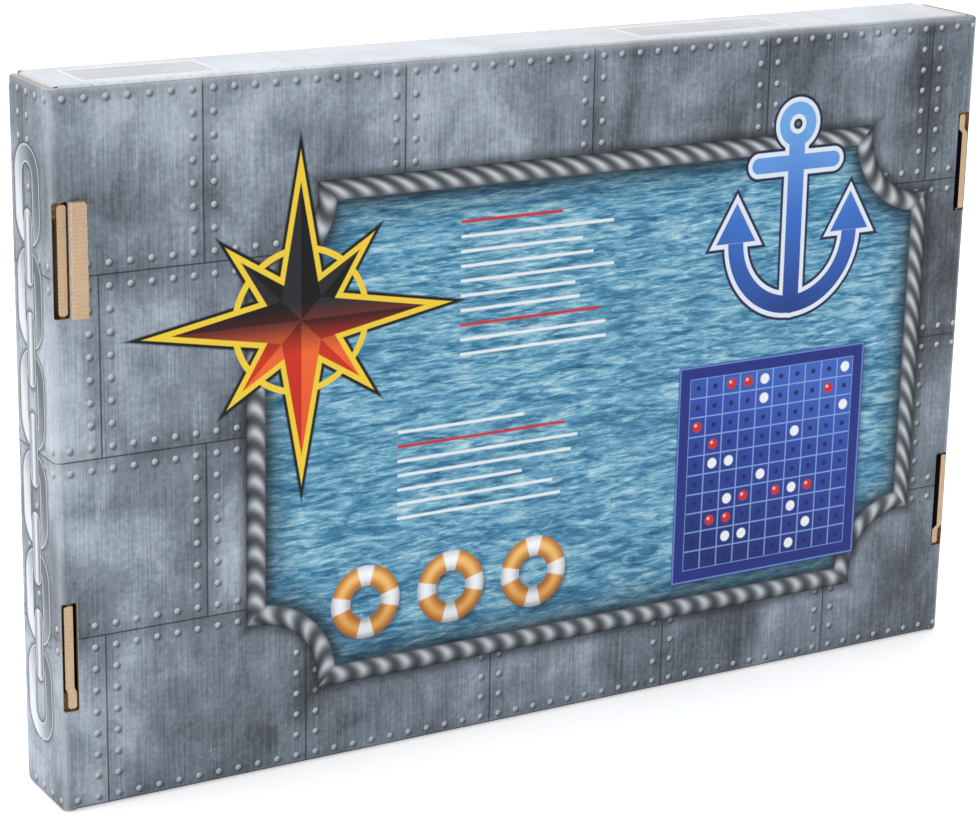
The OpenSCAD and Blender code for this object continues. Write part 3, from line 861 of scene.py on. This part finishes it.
def round_end_corner(piece):
    """Rounds off the end wall's corner beside the tuck flap, one tangent cut after another."""
    centre = Vector((0, ROLL_Y - END_CORNER, END_CORNER))
    for step in range(1, END_CORNER_STEPS):
        slope = QUARTER * step / END_CORNER_STEPS
        out = Vector((0, math.cos(slope), -math.sin(slope)))
        pick(piece, "faces", lambda c, n: abs(c.x) > FLAT_X - NEAR_END and c.y > TURN_Y
             and c.z < NEAR_FLOOR and abs(n.z) < 0.5)
        bpy.ops.mesh.bisect(plane_co=centre + out * END_CORNER, plane_no=out, clear_outer=True)


def close_sheet(sheet):
    """Joins the flats at their creases, rounds the free end corners and turns the print outwards."""
    bpy.ops.mesh.select_all(action="SELECT")
    bpy.ops.mesh.remove_doubles(threshold=WELD)
    round_end_corner(sheet)
    bpy.ops.mesh.select_all(action="SELECT")
    bpy.ops.mesh.normals_make_consistent(inside=False)
    done()


def carton_wrap():
    tray = new_grid("carton_wrap", (0, FACE_Y, MIDDLE_Z),
                    (2 * FLAT_X, FLAT_HIGH - FLAT_LOW), (QUARTER, 0, 0), cuts=(22, 14))
    edit(tray)
    cut_at([(-WALL_X, 0, 0), (WALL_X, 0, 0)], (1, 0, 0))
    swell(tray, MIDDLE_Z, band=10 * MM, move=-0.5 * MM, reach=108 * MM)
    # Small ears that close the corners between the walls
    for z, way in ((FLAT_HIGH, 1), (FLAT_LOW, -1)):
        pick(tray, "edges", lambda c: near(c.z, z) and abs(c.x) > WALL_X - SLACK)
        run_on(z=way * (end_high.z - FLAT_HIGH))
    # Top and bottom walls, with their corner flaps turned in behind the ends
    for z, way, far_y in ((FLAT_HIGH, 1, top_high.y), (FLAT_LOW, -1, bottom_high.y)):
        pick(tray, "edges", lambda c: near(c.z, z) and abs(c.x) < WALL_X + SLACK)
        fold((0, TURN_Y, z), (-way, 0, 0))
        run_on(y=flap_high.y - TURN_Y)
        run_on(y=far_y - flap_high.y)
        for side in (-1, 1):
            pick(tray, "edges", lambda c: near(c.x, side * WALL_X) and near(c.z, z + way * CREASE)
                 and TURN_Y - SLACK < c.y < flap_high.y + SLACK)
            fold((side * WALL_X, 0, z), (0, side * way, 0))
            run_on(z=-way * (FLAT_HIGH - flap_low.z))
    # Outer end walls
    for side in (-1, 1):
        pick(tray, "edges", lambda c: near(c.x, side * FLAT_X) and near(c.y, FACE_Y))
        fold((side * FLAT_X, TURN_Y, 0), (0, 0, side))
        run_on(y=end_high.y - TURN_Y)
    close_sheet(tray)
    return tray


EDGE_CRUSH = 1.05 * MM
SLOT_CORNER = 0.9 * MM
CUTTER_STANDS_OUT = 2 * MM


def crush_edges(piece, levels):
    """Presses the cut edges at the ends thin, so that only a fine line of raw board shows."""
    def at_the_ends(line):
        skins = {face.material_index for face in line.link_faces}
        level = any(all(near(v.co.z, z) for v in line.verts) for z in levels)
        outside = all(abs(v.co.x) > WALL_X - 0.05 * MM for v in line.verts)
        return skins == {FACE, CUT} and level and outside

    edit(piece)
    pick_lines(piece, at_the_ends)
    bpy.ops.mesh.bevel(offset=EDGE_CRUSH, segments=3, material=FACE)
    done()


def slot_cutter(x, z):
    """A slot's shape, with its corners a little rounded."""
    half = Vector((SLOT_W / 2, 0, SLOT_LEN / 2))
    cutter = new_block("slot_cutter", Vector((x, FACE_Y - CUTTER_STANDS_OUT, z)) - half,
                       Vector((x, TURN_Y, z)) + half)
    edit(cutter)
    pick_lines(cutter, runs_through)
    bpy.ops.mesh.bevel(offset=SLOT_CORNER, segments=4)
    done()
    return cutter


tray = carton_wrap()
make_board(tray, BOARD_SKINS)
crush_edges(tray, (0, end_low.z, end_high.z, TOP_Z))
for slot_x in (-SLOT_X, SLOT_X):
    for slot_z in SLOTS_Z:
        cut_away(tray, slot_cutter(slot_x, slot_z))
unfold_map(tray)
finish_faces(tray)
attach(tray, "carton")
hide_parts("back_panel", "top_wall", "bottom_wall", "left_outer_end", "right_outer_end",
            "left_top_corner_flap", "left_bottom_corner_flap",
            "right_top_corner_flap", "right_bottom_corner_flap")


# Rolled ends: over the corner flaps and down inside, with the tabs that lock in the slots

TAB_RECESS = 0.4 * MM
TAB_INSET = 1 * MM
TAB_CORNER = 0.8 * MM
ROLL_PLAY = 0.1 * MM
INNER_X = -roll_high.x
TIP_Y = FACE_Y + TAB_RECESS
ROOT_Y = FACE_Y + BOARD + ROLL_PLAY

# How far the tips spread, lean and bend outwards at the left end and at the right end
TAB_FLARE = {-1: 1.3 * MM, 1: 0.7 * MM}
TAB_LEAN = {-1: 0.8 * MM, 1: 0.3 * MM}
TAB_BEND = {-1: 0.0, 1: 1.7 * MM}
LEAN_RISE = 8 * MM
BEND_DEPTH = 3.5 * MM
BEND_EASE = 2 * MM
FLAP_ROOM = 2.3 * MM
BEND_FROM, BEND_TO = low_flap_high.z + FLAP_ROOM, flap_low.z - FLAP_ROOM


def beside_slot(z):
    return any(abs(z - middle) < SLOT_LEN / 2 for middle in SLOTS_Z)


def flare_tabs(sheet, side):
    """Crushes the tabs' tips open, as they come through the slots, with rounded ends in plain kraft."""
    def tab_end(line):
        corner = len(line.link_faces) == 2 and line.calc_face_angle(0) > 1
        return corner and runs_through(line) and max(v.co.y for v in line.verts) < ROOT_Y + LOOSE

    edit(sheet)
    pick(sheet, "verts", lambda c: near(c.y, TIP_Y) and near(abs(c.x), INNER_X + BOARD))
    bpy.ops.transform.translate(value=(side * TAB_FLARE[side], 0, 0))
    pick(sheet, "verts", lambda c: near(c.y, TIP_Y) and near(c.z, SLOT_LOW_Z + LEAN_RISE, SLOT_LEN / 2))
    bpy.ops.transform.translate(value=(side * TAB_LEAN[side], 0, 0))
    pick_lines(sheet, tab_end)
    bpy.ops.mesh.bevel(offset=TAB_CORNER, segments=3)
    done()
    # The tabs' inward faces beside the slots take the painted shade of the slot gaps
    for face in sheet.data.polygons:
        inwards = face.normal.x * side < -0.5
        if face.center.y < ROOT_Y and face.normal.y < -0.7:
            face.material_index = LINER
        elif face.center.y < ROOT_Y + BEND_DEPTH and inwards and beside_slot(face.center.z):
            face.material_index = GAP_SHADE


def bend_tabs(sheet, side):
    """Presses the tabs over towards the outer wall, clear of the corner flaps behind it."""
    edit(sheet)
    pick(sheet, "verts", lambda c: c.y < ROOT_Y + LOOSE and beside_slot(c.z)
         and BEND_FROM - SLACK < c.z < BEND_TO + SLACK)
    bpy.ops.transform.translate(value=(side * TAB_BEND[side], 0, 0))
    done()


def rolled_end(name, side):
    flat_low, flat_high = roll_low.z, roll_high.z
    inner_turn_x = INNER_X + CREASE
    sheet = new_grid(name, (side * (FLAT_X + inner_turn_x) / 2, ROLL_Y, (flat_low + flat_high) / 2),
                     (FLAT_X - inner_turn_x, flat_high - flat_low), (-QUARTER, 0, 0), cuts=(1, 24))
    edit(sheet)
    pick(sheet, "edges", lambda c: near(c.x, side * FLAT_X))
    fold((side * FLAT_X, end_high.y, 0), (0, 0, -side))
    pick(sheet, "edges", lambda c: near(c.x, side * inner_turn_x))
    fold((side * inner_turn_x, end_high.y, 0), (0, 0, side))
    run_on(y=ROOT_Y - end_high.y)
    tab_half = SLOT_LEN / 2 - TAB_INSET
    tab_z = [z + way * tab_half for z in SLOTS_Z for way in (-1, 1)]
    bend_z = [BEND_FROM, BEND_FROM - BEND_EASE, BEND_TO, BEND_TO + BEND_EASE]
    cut_at([(0, 0, z) for z in tab_z + bend_z], (0, 0, 1))
    cut_at([(0, ROOT_Y + BEND_DEPTH, 0)], (0, 1, 0))
    pick(sheet, "edges", lambda c: near(c.y, ROOT_Y) and near(c.x, side * INNER_X)
         and any(abs(c.z - z) < tab_half + LOOSE for z in SLOTS_Z))
    run_on(y=TIP_Y - ROOT_Y)
    close_sheet(sheet)
    make_board(sheet, ROLL_SKINS)
    flare_tabs(sheet, side)
    bend_tabs(sheet, side)
    crush_edges(sheet, (flat_low, flat_high))
    unfold_map(sheet)
    finish_faces(sheet)
    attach(sheet, "carton")
    return sheet


left_end = rolled_end("left_rolled_end", -1)
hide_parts("left_inner_end")
right_end = rolled_end("right_rolled_end", 1)
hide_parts("right_inner_end")


# Lid, tuck flap and the slot's cut-out

HINGE_TAPER = 9 * MM
LID_ROUND = BOARD * 0.98
LID_ROWS, LID_COLUMNS = 12, 20


def lid_board():
    board = new_block("lid_board", lid_low, lid_high)
    edit(board)
    pick_lines(board, lambda line: near(line.verts[0].co.z, line.verts[1].co.z)
               and all(near(v.co.y, lid_high.y) for v in line.verts))
    bpy.ops.mesh.bevel(offset=LID_ROUND, segments=6)
    tall = lid_high.z - lid_low.z
    cut_at([(0, 0, lid_low.z + tall * i / LID_ROWS) for i in range(1, LID_ROWS)], (0, 0, 1))
    cut_at([(lid_low.x * (1 - 2 * i / LID_COLUMNS), 0, 0) for i in range(1, LID_COLUMNS)], (1, 0, 0))
    swell(board, lid_low.z + tall / 2, band=2 * MM, move=0.6 * MM, reach=106 * MM)
    cut_at([(0, 0, lid_high.z - HINGE_TAPER)], (0, 0, 1))
    for side in (-1, 1):
        pick(board, "verts", lambda c: near(c.x, side * lid_high.x) and c.z > lid_high.z - BOARD - SLACK)
        bpy.ops.transform.translate(value=(side * (WALL_X - lid_high.x), 0, 0))
    done()
    for skin in LID_SKINS:
        board.data.materials.append(skin)
    for face in board.data.polygons:
        inside = face.normal.y < -0.9
        cut_end = abs(face.normal.x) > 0.9
        face.material_index = CUT if cut_end else LINER if inside else FACE
    finish_faces(board)
    return board


lid = lid_board()
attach(lid, "lid")
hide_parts("front_lid_panel")


TUCK_LEAN = math.radians(3.5)
TUCK_ROOT, TUCK_DEPTH = 0.2 * MM, 24 * MM
TUCK_CORNER = 12 * MM


def tuck_board():
    half = tuck_high.x
    board = new_grid("tuck_board", (0, -(TUCK_DEPTH + TUCK_ROOT) / 2, 0),
                     (2 * half, TUCK_DEPTH - TUCK_ROOT), (math.pi, 0, 0), cuts=(16, 1))
    edit(board)
    pick(board, "verts", lambda c: near(c.y, -TUCK_DEPTH) and near(abs(c.x), half))
    bpy.ops.mesh.bevel(offset=TUCK_CORNER, segments=8, affect="VERTICES")
    done()
    make_board(board, LID_SKINS)
    board.rotation_euler = (-TUCK_LEAN, 0, 0)
    board.location = (0, HINGE_Y, tuck_low.z)
    take(board)
    bpy.ops.object.transform_apply(location=True, rotation=True, scale=True)
    finish_faces(board)
    return board


tuck = tuck_board()
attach(tuck, "tuck")
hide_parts("tuck_flap")


FOLD_EDGE_X = strip_low.x + 0.4 * MM
FRAY_STEPS, FRAY = 30, 0.3 * MM
WORN_CORNER = 0.7 * MM


def slot_cut_out():
    strip = new_block("slot_cut_out_strip", strip_low, strip_high)
    edit(strip)
    cut_at([(0, 0, strip_low.z + SLOT_LEN * i / FRAY_STEPS) for i in range(1, FRAY_STEPS)], (0, 0, 1))
    cut_at([(FOLD_EDGE_X, 0, 0)], (1, 0, 0))
    pick(strip, "verts", lambda c: near(c.x, strip_high.x) and strip_low.z < c.z < strip_high.z)
    bpy.ops.transform.vertex_random(offset=FRAY, seed=5)
    pick(strip, "verts", lambda c: near(c.x, strip_high.x)
         and (near(c.z, strip_low.z) or near(c.z, strip_high.z)))
    bpy.ops.transform.translate(value=(-WORN_CORNER, 0, 0))
    done()
    for skin in (paper, kraft, raw_edge):
        strip.data.materials.append(skin)
    for face in strip.data.polygons:
        at_fold, outside = face.center.x < FOLD_EDGE_X, face.normal.y < -0.9
        face.material_index = FACE if at_fold else LINER if outside else CUT
    finish_faces(strip)
    return strip


strip = slot_cut_out()
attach(strip, "slot_cut_out")
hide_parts("slot_flap")


# Game sets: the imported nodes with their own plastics

set_blue = moulded("set_blue_plastic", srgb(16, 24, 98), srgb(27, 38, 130), 0.34)
clear_screen = moulded("clear_screen_plastic", srgb(206, 228, 242), srgb(222, 238, 248), 0.09,
                       transmission=0.94, ior=1.49)
ship_blue = moulded("ship_blue_plastic", srgb(60, 132, 190), srgb(84, 158, 212), 0.36)
peg_white = moulded("peg_white_plastic", srgb(226, 228, 230), srgb(244, 244, 244), 0.38)
peg_red = moulded("peg_red_plastic", srgb(176, 18, 18), srgb(208, 34, 28), 0.36)
teal_card = card_print()
SET_FINISHES = [(set_blue, ("base", "lid")), (clear_screen, ("screen",)), (teal_card, ("key_cards",)),
                (ship_blue, ("torpedo_boats", "destroyers", "submarine", "cruiser", "carrier")),
                (peg_white, ("white_pegs_1", "white_pegs_2", "white_pegs_3", "white_pegs_4")),
                (peg_red, ("red_pegs",))]
for set_name in ("set_a", "set_b"):
    for finish, parts in SET_FINISHES:
        for part in parts:
            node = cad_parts[f"{set_name}_{part}"]
            node.data.materials.clear()
            node.data.materials.append(finish)


# Floor, light and camera

def pale_floor():
    bpy.ops.object.select_all(action="DESELECT")
    bpy.ops.mesh.primitive_plane_add(size=60, location=(0, 0, 0))
    floor = bpy.context.object
    floor.name = "floor"
    finish, shader = new_finish("floor_paper")
    x, y, _ = object_place()
    tone = grain(x * 0.002, y * 0.002, 2.0, 0.5)
    colour = ramp(tone, [(0.3, srgb(246, 246, 247)), (0.7, srgb(250, 250, 250))])
    feed(shader.inputs["Base Color"], colour)
    shader.inputs["Roughness"].default_value = 0.9
    shader.inputs["Emission Color"].default_value = (1, 1, 1, 1)
    shader.inputs["Emission Strength"].default_value = 0.5
    floor.data.materials.append(finish)


def soft_box(name, place, target, size, power):
    lamp = bpy.data.lights.new(name, "AREA")
    lamp.shape = "RECTANGLE"
    lamp.size, lamp.size_y = size
    lamp.energy = power
    holder = bpy.data.objects.new(name, lamp)
    bpy.context.scene.collection.objects.link(holder)
    holder.location = place
    holder.rotation_euler = (Vector(target) - Vector(place)).to_track_quat("-Z", "Y").to_euler()


pale_floor()
surroundings = bpy.data.worlds.new("white_studio")
bpy.context.scene.world = surroundings
surroundings.use_nodes = True
sky = surroundings.node_tree.nodes["Background"]
sky.inputs["Color"].default_value = (1, 1, 1, 1)
sky.inputs["Strength"].default_value = 0.38
soft_box("overhead", (-0.1, 0.4, 1.5), (0, 0, 0.15), size=(1.6, 1.2), power=26)
soft_box("behind", (0.85, 1.5, 0.8), (0, 0, 0.24), size=(2.6, 1.0), power=7)
soft_box("left_side", (-1.6, -0.1, 0.7), (0, 0, 0.12), size=(1.0, 1.2), power=3)
soft_box("front_fill", (0.5, -1.9, 0.9), (0, 0, 0.12), size=(1.4, 1.0), power=3)
bpy.context.scene.view_settings.view_transform = "Standard"

PHOTO_W = 978
FOCAL_PX = 2869.305
SENSOR_MM = 36
camera_data = bpy.data.cameras.new("photo_camera")
camera_data.sensor_fit = "HORIZONTAL"
camera_data.sensor_width = SENSOR_MM
camera_data.lens = FOCAL_PX / PHOTO_W * SENSOR_MM
camera_data.clip_start = 0.02
camera = bpy.data.objects.new("photo_camera", camera_data)
bpy.context.scene.collection.objects.link(camera)
EYE = Vector((-513.224, -842.004, 406.06)) * MM
HEADING, DOWN, TILT = math.radians(-30.69), math.radians(16.644), math.radians(1.149)
camera.matrix_world = (Matrix.Translation(EYE) @ Matrix.Rotation(HEADING, 4, "Z")
                       @ Matrix.Rotation(QUARTER - DOWN, 4, "X") @ Matrix.Rotation(TILT, 4, "Z"))
bpy.context.scene.camera = camera
